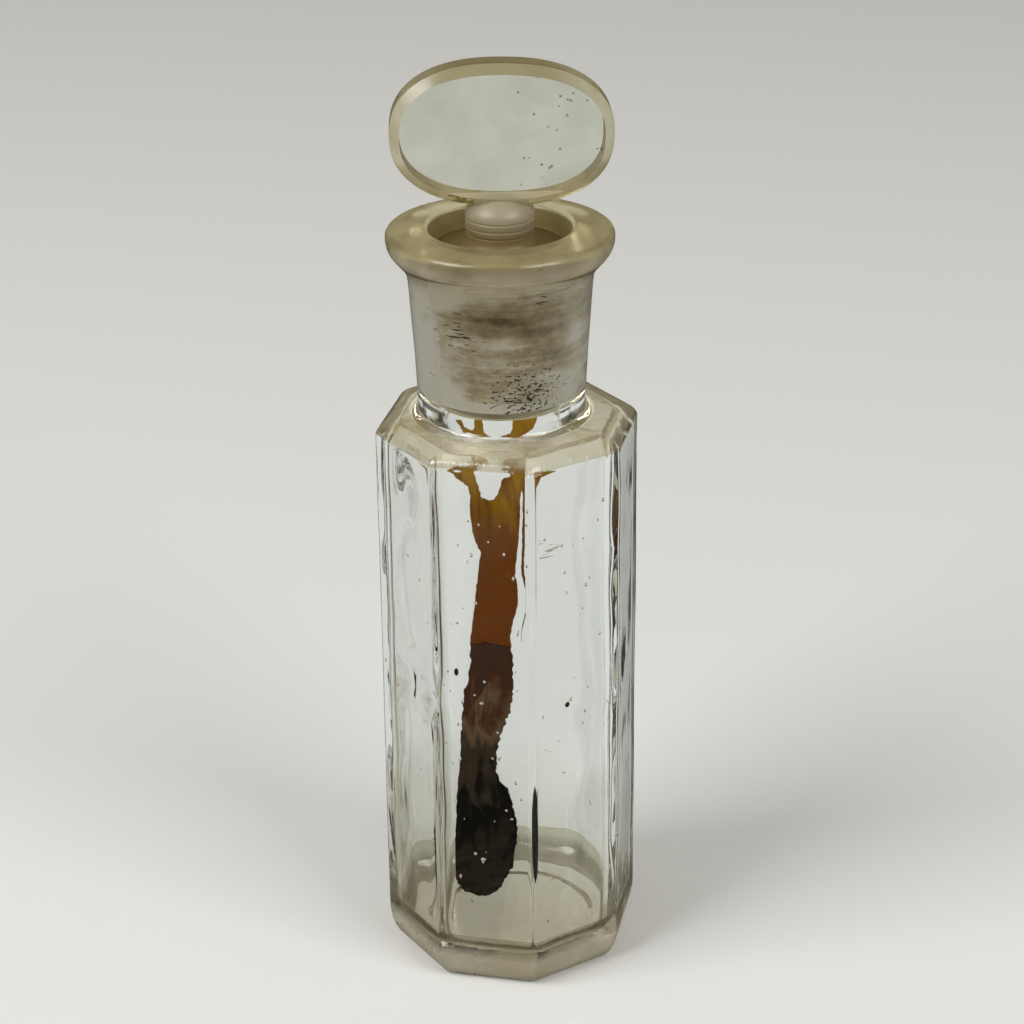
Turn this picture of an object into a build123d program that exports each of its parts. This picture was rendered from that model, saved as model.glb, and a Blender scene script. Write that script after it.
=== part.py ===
from build123d import *
from math import atan2, cos, degrees, radians, sin, sqrt
import os

# Octagonal perfume bottle of clear moulded glass with a ground-in glass stopper. All sizes are in mm.
# The origin is the centre of the base, +Z runs up the bottle and the facets face X, Y and between.

# Body
side_count = 8
across_flats = 23.5
facet_height = 53.45
shoulder_radius = 4.8
heel_inset = 2.0
heel_rise = 4.0
edge_rounding = 0.7
base_recess_radius = 7.5
base_recess_depth = 0.4
base_recess_slope = 60

# Chamber inside the body
wall = 1.7
floor_thickness = 3.0
chamber_corner_radius = 2.4
chamber_heel_radius = 2.0
chamber_roundness = 0.9

# Neck and turned-out lip, on an axis that stands a little to one side of the body's
front_turn = 14.75
neck_shift = 0.5
neck_foot_radius = 7.86
neck_taper = 0.067
neck_flare = 0.8
neck_cove = 1.0
lip_height = 75.6
lip_radius = 10.65
lip_thickness = 3.9
lip_edge_height = 1.9
lip_fall = 0.25
lip_bevel = 0.6
lip_under_rounding = 1.6
lip_cove = 1.4
mouth_chamfer = 0.35

# Conical bore and the ground plug that fills it
bore_mouth_radius = 6.7
bore_taper = 0.061
bore_foot_chamfer = 0.5
plug_clearance = 0.05
plug_length = 15.1
plug_drop = 2.0
plug_chamfer = 0.4

# Stem and oval finial of the stopper
stem_radius = 3.2
stem_flare = 0.8
stem_crown = 1.3
stem_crown_drop = 0.5
stem_crown_radius = 1.9
finial_gap = 2.12
finial_width = 20.46
finial_height = 13.39
finial_thickness = 4.1
finial_roundness = 0.94
finial_bevel = 0.9
finial_lean = 1.3

# Dried perfume on the far wall of the chamber: a thin film above, a thick crust below and on the floor
residue_seat = 0.05
film_thickness = 0.15
film_top_drop = 1.0
crust_thickness = 0.35
crust_top = 27.4
crust_reach = 9.5
residue_width = 6.2

# Outlines of the residue: a share of the run's width across the front, then a share of the height
film_left = ((-0.69, 0), (-0.63, 0.16), (-0.45, 0.39), (-0.56, 0.58), (-0.68, 0.75), (-1.02, 1))
film_notch = (
    (-0.79, 1),
    (-0.61, 0.86),
    (-0.48, 0.75),
    (-0.32, 0.64),
    (-0.15, 0.735),
    (-0.05, 0.86),
    (0, 1),
)
film_right = (
    (0.58, 1),
    (0.53, 0.86),
    (0.39, 0.75),
    (0.19, 0.64),
    (0.13, 0.41),
    (0.06, 0.18),
    (0.03, 0),
)
crust_left = ((-0.69, 1), (-0.84, 0.72), (-0.98, 0.46), (-1, 0.29), (-0.94, 0))
crust_right = ((-0.05, 0), (0.02, 0.25), (-0.19, 0.33), (-0.13, 0.53), (0.03, 1))

# Places that follow from the sizes
half_width = across_flats / 2
shoulder_top = facet_height + shoulder_radius
chamber_top = shoulder_top - wall
chamber_shoulder = min(shoulder_radius - wall, chamber_roundness * chamber_corner_radius)
bore_foot = chamber_top - chamber_shoulder
plug_top = lip_height - plug_drop
plug_foot = plug_top - plug_length
finial_centre = lip_height + finial_gap + finial_height / 2 - plug_top
stem_top = lip_height + finial_gap - stem_crown_drop
film_top = facet_height - film_top_drop

# The finial's long sides are the arcs that its end arcs run into without a corner
finial_end_radius = finial_roundness * finial_height / 2
finial_side_radius = (
    (finial_width / 2) ** 2 + (finial_height / 2) ** 2 - finial_width * finial_end_radius
) / (finial_height - 2 * finial_end_radius)
finial_end_angle = degrees(
    atan2(finial_side_radius - finial_height / 2, finial_width / 2 - finial_end_radius)
)

# The stopper's flat side, and the residue opposite it, face a front that is turned from the facets
front_x = (cos(radians(front_turn)), sin(radians(front_turn)), 0)
front_normal = (sin(radians(front_turn)), -cos(radians(front_turn)), 0)
front = Plane((0, 0, 0), x_dir=front_x, z_dir=front_normal)
neck_front = Plane(front.from_local_coords((-neck_shift, 0, 0)), x_dir=front_x, z_dir=front_normal)
neck_axis = Axis(neck_front.origin, (0, 0, 1))
plug_front = Plane(
    neck_front.from_local_coords((0, plug_top, 0)), x_dir=front_x, z_dir=front_normal
).rotated((0, 0, -finial_lean))
finial_front = Plane(
    plug_front.from_local_coords((0, finial_centre, -finial_thickness / 2)),
    x_dir=plug_front.x_dir,
    z_dir=plug_front.z_dir,
)


def neck_radius(height):
    return neck_foot_radius + neck_taper * (height - shoulder_top)


def shoulder_level(radius):
    beyond = max(radius - half_width + shoulder_radius, 0)
    return facet_height + sqrt(shoulder_radius**2 - beyond**2)


def bore_radius(height):
    return bore_mouth_radius - bore_taper * (lip_height - height)


def plug_radius(height):
    return bore_radius(height) - plug_clearance


def outline_points(shape, low, high):
    return [(across * residue_width, low + share * (high - low)) for across, share in shape]


# Chamber: a rounded octagon drawn in at the shoulder, with each wall moved inwards by the inset
def chamber_space(inset):
    with BuildPart() as space:
        with BuildSketch(Plane.XY.offset(floor_thickness + inset)) as plan:
            RegularPolygon(
                half_width - wall - inset,
                side_count,
                major_radius=False,
                rotation=180 / side_count,
            )
            fillet(plan.vertices(), chamber_corner_radius - inset)
        extrude(amount=chamber_top - floor_thickness - 2 * inset)
        chamfer(space.edges().group_by(Axis.Z)[-1], chamber_shoulder - inset)
        fillet(space.edges().group_by(Axis.Z)[0], chamber_heel_radius - inset)
    return space.part


# Hollow: the chamber, and the conical bore that leads from it out through the mouth
with BuildPart() as hollow:
    add(chamber_space(0))
    with BuildSketch(neck_front):
        Polygon(
            (0, bore_foot),
            (bore_radius(chamber_top) + bore_foot_chamfer, bore_foot),
            (bore_radius(chamber_top) + bore_foot_chamfer, chamber_top),
            (bore_radius(chamber_top + bore_foot_chamfer), chamber_top + bore_foot_chamfer),
            (bore_radius(lip_height - mouth_chamfer), lip_height - mouth_chamfer),
            (bore_mouth_radius + mouth_chamfer, lip_height),
            (bore_mouth_radius + mouth_chamfer, lip_height + wall),
            (0, lip_height + wall),
            align=None,
        )
    revolve(axis=neck_axis)

# Bottle: the body is what four upright profiles share, one for each pair of facets
with BuildPart() as bottle:
    for turn in range(side_count // 2):
        with BuildSketch(Plane.XZ.rotated((0, 0, turn * 360 / side_count)).offset(-across_flats)):
            with BuildLine() as profile:
                Line((0, 0), (half_width - heel_inset, 0))
                EllipticalCenterArc(
                    (half_width - heel_inset, heel_rise),
                    heel_inset,
                    heel_rise,
                    start_angle=-90,
                    arc_size=90,
                )
                Line((half_width, heel_rise), (half_width, facet_height))
                CenterArc((half_width - shoulder_radius, facet_height), shoulder_radius, 0, 90)
                Line((half_width - shoulder_radius, shoulder_top), (0, shoulder_top))
                mirror(profile.line, about=Plane.YZ)
            make_face()
        extrude(amount=2 * across_flats, mode=Mode.INTERSECT if turn else Mode.ADD)
    corners = bottle.edges().filter_by(lambda edge: edge.bounding_box().size.Z > heel_rise / 2)
    fillet(corners, edge_rounding)

    # Shallow dish under the base, so that the bottle stands on its rim
    with BuildSketch(Plane.XY):
        Circle(base_recess_radius)
    extrude(amount=base_recess_depth, taper=base_recess_slope, mode=Mode.SUBTRACT)

    # Neck and lip
    with BuildSketch(neck_front):
        with BuildLine():
            neck_side = FilletPolyline(
                (neck_foot_radius + neck_flare, shoulder_level(neck_foot_radius + neck_flare + neck_shift)),
                (neck_foot_radius, shoulder_top + neck_shift / 2),
                (neck_radius(lip_height - lip_thickness), lip_height - lip_thickness),
                (lip_radius, lip_height - lip_edge_height),
                (lip_radius, lip_height - lip_fall - lip_bevel),
                radius=(neck_cove, lip_cove, lip_under_rounding),
            )
            Polyline(
                neck_side @ 1,
                (lip_radius - lip_bevel, lip_height - lip_fall),
                (bore_mouth_radius, lip_height),
                (0, lip_height),
                (0, facet_height),
                (neck_foot_radius + neck_flare, facet_height),
                neck_side @ 0,
            )
        make_face()
    revolve(axis=neck_axis)
    add(hollow.part, mode=Mode.SUBTRACT)

# Finial: a flat oval that leans a little to one side, drawn from its two ends and two long sides
with BuildPart() as finial:
    with BuildSketch(finial_front):
        with BuildLine() as oval:
            CenterArc(
                (finial_width / 2 - finial_end_radius, 0),
                finial_end_radius,
                -finial_end_angle,
                2 * finial_end_angle,
            )
            CenterArc(
                (0, finial_height / 2 - finial_side_radius),
                finial_side_radius,
                finial_end_angle,
                180 - 2 * finial_end_angle,
            )
            mirror(oval.edges()[0], about=Plane.YZ)
            mirror(oval.edges()[1], about=Plane.XZ)
        make_face()
    extrude(amount=finial_thickness)
    chamfer(finial.faces().filter_by(GeomType.PLANE).edges(), finial_bevel)

# Stopper: plug, stem and the stem's crown are turned, and the crown carries the finial
with BuildPart() as stopper:
    with BuildSketch(neck_front):
        Polygon(
            (0, plug_foot),
            (plug_radius(plug_foot) - plug_chamfer, plug_foot),
            (plug_radius(plug_foot + plug_chamfer), plug_foot + plug_chamfer),
            (plug_radius(plug_top - plug_chamfer), plug_top - plug_chamfer),
            (plug_radius(plug_top) - plug_chamfer, plug_top),
            (stem_radius + stem_flare, plug_top),
            (stem_radius, plug_top + stem_flare),
            (stem_radius, stem_top),
            (stem_crown_radius, stem_top + stem_crown),
            (0, stem_top + stem_crown),
            align=None,
        )
    revolve(axis=neck_axis)
    add(finial.part)

# Residue film: runs of dried perfume down the far wall, two legs that join into one
with BuildPart() as residue_film:
    add(chamber_space(residue_seat))
    add(chamber_space(residue_seat + film_thickness), mode=Mode.SUBTRACT)
    with BuildSketch(front):
        with BuildLine():
            left_side = Spline(*outline_points(film_left, crust_top, film_top))
            notch = Spline(*outline_points(film_notch, crust_top, film_top))
            right_side = Spline(*outline_points(film_right, crust_top, film_top))
            Line(left_side @ 1, notch @ 0)
            Line(notch @ 1, right_side @ 0)
            Line(right_side @ 1, left_side @ 0)
        make_face()
    extrude(amount=-half_width, mode=Mode.INTERSECT)

# Residue crust: the thicker, darker foot of the run, down the wall and forwards over the floor
with BuildPart() as residue_crust:
    add(chamber_space(residue_seat))
    add(chamber_space(residue_seat + crust_thickness), mode=Mode.SUBTRACT)
    with BuildSketch(front.offset(crust_reach - half_width + wall)):
        with BuildLine():
            left_side = Spline(*outline_points(crust_left, floor_thickness, crust_top))
            right_side = Spline(*outline_points(crust_right, floor_thickness, crust_top))
            Line(left_side @ 1, right_side @ 0)
            Line(right_side @ 1, left_side @ 0)
        make_face()
    extrude(amount=-half_width, mode=Mode.INTERSECT)

# Each piece is labelled with its own name and written under it
os.makedirs("parts", exist_ok=True)
bottle.part.label = "bottle"
export_step(bottle.part, "parts/bottle.step")
stopper.part.label = "stopper"
export_step(stopper.part, "parts/stopper.step")
residue_film.part.label = "residue_film"
export_step(residue_film.part, "parts/residue_film.step")
residue_crust.part.label = "residue_crust"
export_step(residue_crust.part, "parts/residue_crust.step")
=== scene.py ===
import bmesh
import bpy
import math
import random
from mathutils import Matrix, Vector


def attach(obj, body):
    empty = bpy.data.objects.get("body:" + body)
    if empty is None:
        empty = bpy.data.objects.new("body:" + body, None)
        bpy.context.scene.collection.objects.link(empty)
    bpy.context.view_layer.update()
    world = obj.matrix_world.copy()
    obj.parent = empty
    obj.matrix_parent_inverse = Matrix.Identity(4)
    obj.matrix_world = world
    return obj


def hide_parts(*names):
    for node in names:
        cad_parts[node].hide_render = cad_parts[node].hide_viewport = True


# Octagonal perfume bottle of moulded glass with a ground stopper, and its dried perfume.
# Lengths are written in mm and turned to metres by MM.
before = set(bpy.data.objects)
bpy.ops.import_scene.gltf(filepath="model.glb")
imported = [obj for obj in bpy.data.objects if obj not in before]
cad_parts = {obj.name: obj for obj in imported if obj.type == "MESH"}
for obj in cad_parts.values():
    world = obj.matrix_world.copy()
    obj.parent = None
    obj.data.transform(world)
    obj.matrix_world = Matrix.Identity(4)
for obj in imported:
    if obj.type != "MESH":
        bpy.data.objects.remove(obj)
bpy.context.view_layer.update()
MM = 0.001
OCTANT = math.pi / 8

# Body of the bottle: half its width over the flats, then its heel, facets, shoulder, edges, and
# the flat rim that it stands on, with a shallow dish inside
HALF = 11.75
HEEL_INSET = 2.0
HEEL_RISE = 4.0
HEEL_BREAK = 0.35
FACET_TOP = 53.45
BEND_OUT = 55.6
TURN_IN = 3.3
TURN_RISE = 1.75
SHOULDER_ARC = 66
EDGE = 0.7
RIM_INSIDE = 7.8
DISH = [(7.5, 0.05), (7.2, 0.25), (6.8, 0.4)]

# Chamber: its shoulder runs parallel to the outer one, and one corner is sharper than the rest
WALL = 1.7
SHOULDER_WALL = 0.75
INNER = HALF - WALL
FLOOR = 3.0
CHAMBER_CORNER = 2.0
RUN_CORNER = 0.7
CHAMBER_HEEL = 2.0
HEEL_TOP = FLOOR + CHAMBER_HEEL
CHAMBER_TOP = 55.9
THROAT = 7.0
BEND = BEND_OUT - SHOULDER_WALL

# Walls are cut this often across each side and up its height, so that they can be made uneven
CUTS = {"side_cuts": 8, "height_cuts": 30}

# Neck, lip and bore, round an axis a little to one side
TURN = math.radians(14.75)
ACROSS = Vector((math.cos(TURN), math.sin(TURN), 0))
BACK = Vector((-math.sin(TURN), math.cos(TURN), 0))
UP = Vector((0, 0, 1))
NECK = -0.5 * ACROSS
NECK_FOOT = 8.75
NECK_START = 57.33
LIP_TOP = 75.6
BORE_MOUTH = 6.7
BORE_TAPER = 0.061

# Stopper: a plug that is a little slimmer than the bore, and an oval finial on a turned stem
PLUG_TOP = 73.6
PLUG_FOOT = 58.5
PLUG_GAP = 0.05
PLUG_CENTRE = 0.8
OVAL_HEIGHT = 84.415
OVAL_HALF_WIDTH = 10.23
OVAL_HALF_HEIGHT = 6.695
OVAL_FULLNESS = 2.35
OVAL_DEPTH = 4.1
OVAL_BEVEL = 0.9
OVAL_EDGE = 0.16
LEAN = math.radians(1.3)

# Dried perfume: how far its skin stands off the wall, how thick it is, and from where to where
SEAT = 0.03
FILM_DEPTH = 0.17
CRUST_DEPTH = 0.4
FILM_FOOT = 27.4
FILM_TOP = 52.6
SKIN_TOP = 53.2

# The two seeds in the front walls and the sliver low on the right, painted black: painted shade for the
# darkness that refraction shows there
BLACKENED_SEEDS = ((7.18, -8.37, 30.8), (-2.74, -11.0, 34.67))
SLIVER = (4.72, -11.2, 17.7)

# Where the ground joint begins and ends, inside the neck and on the plug
JOINT_FOOT = 59.45
JOINT_TOP = 75.25
PLUG_SHOULDER = 73.75


def bore(height):
    return BORE_MOUTH - BORE_TAPER * (LIP_TOP - height)


# Camera: where the photograph was taken from, which way it looked and how it was tilted
camera_data = bpy.data.cameras.new("camera")
camera_data.lens = 96.47
camera_data.clip_start = 0.01
camera = bpy.data.objects.new("camera", camera_data)
bpy.context.scene.collection.objects.link(camera)
viewpoint = Vector((51.60, -236.03, 154.79))
right = Vector((0.97723, 0.21217, 0)).normalized()
ahead = Vector((-0.19359, 0.89181, -0.40891)).normalized()
upwards = right.cross(ahead)
roll = Matrix.Rotation(math.radians(-0.577), 3, "Z")
turned = Matrix((right, upwards, -ahead)).transposed() @ roll
camera.matrix_world = Matrix.Translation(viewpoint * MM) @ turned.to_4x4()
bpy.context.scene.camera = camera
bpy.context.scene.view_settings.view_transform = "Standard"

# Light is followed long enough inside thick glass
bpy.context.scene.cycles.max_bounces = 24
bpy.context.scene.cycles.glossy_bounces = 16
bpy.context.scene.cycles.transmission_bounces = 20


# Modelling by hand
def clear():
    # Nothing is selected, and no piece is in edit mode
    if bpy.context.object and bpy.context.object.mode != "OBJECT":
        bpy.ops.object.mode_set(mode="OBJECT")
    bpy.ops.object.select_all(action="DESELECT")


def only(piece):
    # Just this piece is selected and active
    clear()
    piece.select_set(True)
    bpy.context.view_layer.objects.active = piece


def apply_place():
    # The active piece's place goes into its mesh
    bpy.ops.object.transform_apply(location=True, rotation=True, scale=True)


def open_mesh():
    # Edit mode on the active piece, with all of it selected
    bpy.ops.object.mode_set(mode="EDIT")
    bpy.ops.mesh.select_all(action="SELECT")


def close_mesh():
    bpy.ops.object.mode_set(mode="OBJECT")


def face_outwards(piece):
    # All faces of a closed piece point outwards
    only(piece)
    open_mesh()
    bpy.ops.mesh.normals_make_consistent(inside=False)
    close_mesh()


def apply_modifier(piece, kind, **settings):
    only(piece)
    bpy.ops.object.modifier_add(type=kind)
    modifier = piece.modifiers[-1]
    for name, value in settings.items():
        setattr(modifier, name, value)
    bpy.ops.object.modifier_apply(modifier=modifier.name)


def take(test, kind="verts"):
    # In edit mode, just the points, edges or faces that pass the test are selected
    shape = bmesh.from_edit_mesh(bpy.context.object.data)
    bpy.ops.mesh.select_all(action="DESELECT")
    for item in getattr(shape, kind):
        if test(item):
            item.select_set(True)
    shape.select_flush_mode()
    bmesh.update_edit_mesh(bpy.context.object.data)


def at_height(height):
    take(lambda v: abs(v.co.z - height * MM) < 0.002 * MM)


def draw_on(rise):
    # The chosen edges are drawn straight up, or down with a negative rise
    bpy.ops.mesh.extrude_edges_move(TRANSFORM_OT_translate={"value": (0, 0, rise * MM)})


def scale_ring(factor, middle=Vector()):
    # The chosen ring is widened or narrowed about an upright axis
    pivot = middle * MM
    bpy.ops.transform.resize(value=(factor, factor, 1), center_override=(pivot.x, pivot.y, 0))


def grow(rings, size, height, centre=Vector()):
    # The chosen ring is drawn on through rings of a given size and height
    for new_size, new_height in rings:
        draw_on(new_height - height)
        scale_ring(new_size / size, centre)
        size, height = new_size, new_height
    return size, height


def grow_round(radius, rise):
    # The chosen eight-sided ring is drawn on into a round one
    draw_on(rise)
    bpy.ops.transform.tosphere(value=1)
    shape = bmesh.from_edit_mesh(bpy.context.object.data)
    found = max(v.co.xy.length for v in shape.verts if v.select) / MM
    scale_ring(radius / found)


def close_ring(size, height, centre=Vector()):
    # The chosen ring is closed by a flat disc
    grow([(0.5 * size, height), (0.1 * size, height)], size, height, centre)
    bpy.ops.mesh.edge_face_add()


def arc(centre, radius, start, end, steps, rise=None):
    # Rings along an arc of a profile, angles in degrees, without its first point
    turns = [math.radians(start + (end - start) * i / steps) for i in range(1, steps + 1)]
    return [
        (centre[0] + radius * math.cos(a), centre[1] + (rise or radius) * math.sin(a)) for a in turns
    ]


def prism(name, apothem, low, high, corner, corner_steps, side_cuts, height_cuts):
    # An upright open octagon with rounded corners, its sides cut so that they can be uneven
    clear()
    reach = apothem / math.cos(OCTANT) * MM
    bpy.ops.mesh.primitive_circle_add(
        vertices=8, radius=reach, location=(0, 0, low * MM), rotation=(0, 0, OCTANT)
    )
    piece = bpy.context.object
    piece.name = name
    apply_place()
    open_mesh()
    draw_on(high - low)
    bpy.ops.mesh.select_mode(type="EDGE")
    beside_run = Vector((math.sin(OCTANT), -math.cos(OCTANT))) * reach

    def upright(edge):
        return abs(edge.verts[0].co.z - edge.verts[1].co.z) > 0.1 * MM

    def at_run(edge):
        return (edge.verts[0].co.xy - beside_run).length < 0.8 * MM

    # The corner beside the dried run is sharper than the other seven
    take(lambda e: upright(e) and at_run(e), "edges")
    bpy.ops.mesh.bevel(offset=min(corner, RUN_CORNER) * math.tan(OCTANT) * MM, segments=corner_steps)
    take(lambda e: upright(e) and not at_run(e), "edges")
    bpy.ops.mesh.bevel(offset=corner * math.tan(OCTANT) * MM, segments=corner_steps)
    shape = bmesh.from_edit_mesh(piece.data)
    longest = max(e.calc_length() for e in shape.edges if not upright(e))
    take(lambda e: not upright(e) and e.calc_length() > 0.6 * longest, "edges")
    bpy.ops.mesh.subdivide(number_cuts=side_cuts)
    if height_cuts:
        take(upright, "edges")
        bpy.ops.mesh.subdivide(number_cuts=height_cuts)
    bpy.ops.mesh.select_mode(type="VERT")
    return piece


def draw_chamber_heel(seat, steps):
    # From the chamber's wall round to its floor, drawn in by the seat
    at_height(HEEL_TOP)
    heel = arc((INNER - CHAMBER_HEEL, HEEL_TOP), CHAMBER_HEEL - seat, 0, -90, steps)
    return grow(heel, INNER - seat, HEEL_TOP)


# Inner skin of the bottle: the chamber, from its floor up to the foot of the bore
chamber = prism("chamber", INNER, HEEL_TOP, BEND, CHAMBER_CORNER, corner_steps=3, **CUTS)
size, height = draw_chamber_heel(seat=0, steps=6)
close_ring(size, height)
at_height(BEND)
bend = math.degrees(math.asin((CHAMBER_TOP - BEND) / TURN_RISE))
inner_shoulder = arc((INNER - TURN_IN, BEND), TURN_IN, 0, bend, 8, TURN_RISE)
grow(inner_shoulder + [(THROAT, CHAMBER_TOP)], INNER, BEND)

# Outer skin of the bottle: the facets and the heel, then the rim and the dish under the base
glass = prism("glass_bottle", HALF, HEEL_RISE, FACET_TOP, EDGE, corner_steps=3, **CUTS)
at_height(HEEL_RISE)
heel = arc((HALF - HEEL_INSET, HEEL_RISE), HEEL_INSET, 0, -90, 7, HEEL_RISE)
size, height = grow(heel, HALF, HEEL_RISE)
grow([(size - HEEL_BREAK, 0)], size, height)
grow_round(RIM_INSIDE, 0)
size, height = grow(DISH, RIM_INSIDE, 0)
close_ring(size, height)

# Shoulder: eight sides that bend over, then run into the round foot of the neck
at_height(FACET_TOP)
rounding = arc((HALF - TURN_IN, BEND_OUT), TURN_IN, 0, SHOULDER_ARC, 12, TURN_RISE)
size, height = grow([(HALF, BEND_OUT)] + rounding, HALF, FACET_TOP)
grow_round(NECK_FOOT, NECK_START - height)
bpy.ops.transform.translate(value=NECK * MM)

# Neck, lip and mouth, ring by ring from the shoulder up and over: radius and height
neck_profile = [(8.45, 57.44), (8.22, 57.63), (8.08, 57.92), (8.0, 58.3)]
neck_profile += [(7.97, 59.1), (8.03, 61.0), (8.13, 63.0), (8.26, 65.0), (8.4, 67.0), (8.53, 69.0)]
under_lip = [(8.64, 70.4), (8.72, 70.95), (8.84, 71.35), (9.03, 71.75), (9.35, 72.15), (9.75, 72.6)]
lip = [(10.1, 73.0), (10.36, 73.38), (10.54, 73.8), (10.63, 74.2), (10.65, 74.55), (10.62, 74.85)]
lip += [(10.5, 75.08), (10.3, 75.24), (10.0, 75.33), (9.0, 75.4), (8.0, 75.48), (7.3, 75.54)]
mouth = [(7.05, 75.54), (6.86, 75.46), (6.74, 75.32), (6.69, 75.1)]
size, height = grow(neck_profile + under_lip + lip + mouth, NECK_FOOT, NECK_START, NECK)

# Bore, and its rounded way out into the chamber
bore_rings = [(bore(z), z) for z in (74.6, 73.6, 71, 68, 65, 62, 60, 59.4, 58.7, 57.6, 56.6)]
grow(bore_rings + [(5.66, 56.3), (5.95, 56.08)], size, height, NECK)

# The two skins joined into one wall of glass
only(chamber)
glass.select_set(True)
bpy.context.view_layer.objects.active = glass
bpy.ops.object.join()
bpy.ops.object.mode_set(mode="EDIT")
bpy.ops.mesh.select_mode(type="EDGE")
bpy.ops.mesh.select_all(action="DESELECT")
bpy.ops.mesh.select_non_manifold(extend=False)
bpy.ops.mesh.bridge_edge_loops()
bpy.ops.mesh.select_mode(type="VERT")
bpy.ops.mesh.select_all(action="SELECT")
bpy.ops.mesh.remove_doubles(threshold=1e-7)
close_mesh()
face_outwards(glass)

# Stopper: plug, then a stem with fine turned rings, ring by ring
clear()
bpy.ops.mesh.primitive_circle_add(
    vertices=96,
    radius=PLUG_CENTRE * MM,
    location=(NECK + PLUG_FOOT * UP) * MM,
    fill_type="NGON",
)
stopper = bpy.context.object
stopper.name = "glass_stopper"
apply_place()
open_mesh()
plug = [(3.0, PLUG_FOOT), (bore(PLUG_FOOT) - 0.6, PLUG_FOOT), (bore(PLUG_FOOT) - 0.25, 58.6)]
plug += [(bore(z) - PLUG_GAP, z) for z in (58.9, 59.4, 60, 62, 64, 66, 68, 70, 72, 73.2)]
plug += [(bore(73.4) - 0.12, 73.4), (bore(PLUG_TOP) - 0.45, PLUG_TOP), (4.6, 73.62), (4.1, 73.66)]
stem = [(3.85, 73.72), (3.6, 73.86), (3.4, 74.05), (3.27, 74.3), (3.2, 74.6), (3.2, 74.95)]
stem += [(3.12, 75.02), (3.12, 75.1), (3.21, 75.18), (3.22, 75.6), (3.13, 75.68), (3.13, 75.78)]
stem += [(3.2, 75.86), (3.2, 76.3), (3.12, 76.38), (3.12, 76.46), (3.22, 76.55), (3.22, 77.0)]
stem += [(3.05, 77.35), (2.75, 77.75), (2.35, 78.1), (1.9, 78.45)]
size, height = grow(plug + stem, PLUG_CENTRE, PLUG_FOOT, NECK)
close_ring(size, height, NECK)

# Finial: an oval plate with bevelled faces, first round and upright about the origin
clear()
bpy.ops.mesh.primitive_cylinder_add(
    vertices=96,
    radius=OVAL_HALF_HEIGHT * MM,
    depth=OVAL_DEPTH * MM,
    end_fill_type="NGON",
    rotation=(math.pi / 2, 0, 0),
)
finial = bpy.context.object
finial.name = "finial"
apply_place()
open_mesh()
shape = bmesh.from_edit_mesh(finial.data)
for v in shape.verts:
    # The round is drawn out into an oval that is fuller than an ellipse
    angle = math.atan2(v.co.z, v.co.x)
    sideways, upwards = math.cos(angle), math.sin(angle)
    full = 2 / OVAL_FULLNESS
    v.co.x = math.copysign(abs(sideways) ** full, sideways) * OVAL_HALF_WIDTH * MM
    v.co.z = math.copysign(abs(upwards) ** full, upwards) * OVAL_HALF_HEIGHT * MM
bmesh.update_edit_mesh(finial.data)

# Each face is inset, and the rim round it drawn back, which leaves a bevel between them
bpy.ops.mesh.select_mode(type="FACE")
take(lambda f: abs(f.normal.y) > 0.9, "faces")
bpy.ops.mesh.inset(thickness=OVAL_BEVEL * MM)
shape = bmesh.from_edit_mesh(finial.data)
flat_faces = [v for v in shape.verts if any(len(f.verts) > 4 for f in v.link_faces)]
for v in shape.verts:
    if v not in flat_faces:
        v.co.y = math.copysign(OVAL_DEPTH / 2 - OVAL_BEVEL, v.co.y) * MM
bmesh.update_edit_mesh(finial.data)


def round_the_oval(edge):
    # An edge that runs round a face or a bevel
    y0, y1 = (v.co.y for v in edge.verts)
    level = abs(y0) > 0.1 * MM and abs(y0 - y1) < 0.01 * MM
    return level and len(edge.link_faces) == 2 and edge.calc_face_angle(0) > math.radians(25)


bpy.ops.mesh.select_mode(type="EDGE")
take(round_the_oval, "edges")
bpy.ops.mesh.bevel(offset=OVAL_EDGE * MM, segments=2)
close_mesh()

# It stands on the plug, turned with the neck and leaning a little to one side
finial_placing = (
    Matrix.Translation(NECK * MM)
    @ Matrix.Rotation(TURN, 4, "Z")
    @ Matrix.Translation(PLUG_TOP * UP * MM)
    @ Matrix.Rotation(LEAN, 4, "Y")
    @ Matrix.Translation((OVAL_HEIGHT - PLUG_TOP) * UP * MM)
)
finial.data.transform(finial_placing)

# Plug and finial grown together into one piece of glass
face_outwards(finial)
face_outwards(stopper)
apply_modifier(stopper, "BOOLEAN", operation="UNION", solver="EXACT", object=finial)
bpy.data.objects.remove(finial)


# Uneven walls: the mould leaves waves of up to 0.07 mm outside, and of up to 0.25 mm inside
def waves(piece, name, test, size, strength):
    group = piece.vertex_groups.new(name=name)
    group.add([v.index for v in piece.data.vertices if test(v.co / MM)], 1, "REPLACE")
    pattern = bpy.data.textures.new(name, "CLOUDS")
    pattern.noise_scale = size * MM
    pattern.noise_depth = 1
    apply_modifier(
        piece,
        "DISPLACE",
        texture=pattern,
        texture_coords="LOCAL",
        strength=strength * MM,
        mid_level=0.5,
        vertex_group=group.name,
    )


# Points farther from the middle than this are on the outer skin, nearer ones on the inner
BETWEEN_SKINS = 11.2
waves(glass, "outer waves", lambda p: 5 < p.z < 54 and p.xy.length > BETWEEN_SKINS, 10, 0.14)
waves(glass, "inner waves", lambda p: 2.5 < p.z < 54.5 and p.xy.length < BETWEEN_SKINS, 6, 0.5)


def press(place, reach, push):
    # A soft dent or lump in the outer skin: points near the place move, less with distance
    for v in glass.data.vertices:
        near = 1 - (v.co - Vector(place) * MM).length / (reach * MM)
        if near > 0 and v.co.xy.length > BETWEEN_SKINS * MM:
            v.co += Vector(push) * MM * near * near * (3 - 2 * near)


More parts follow.
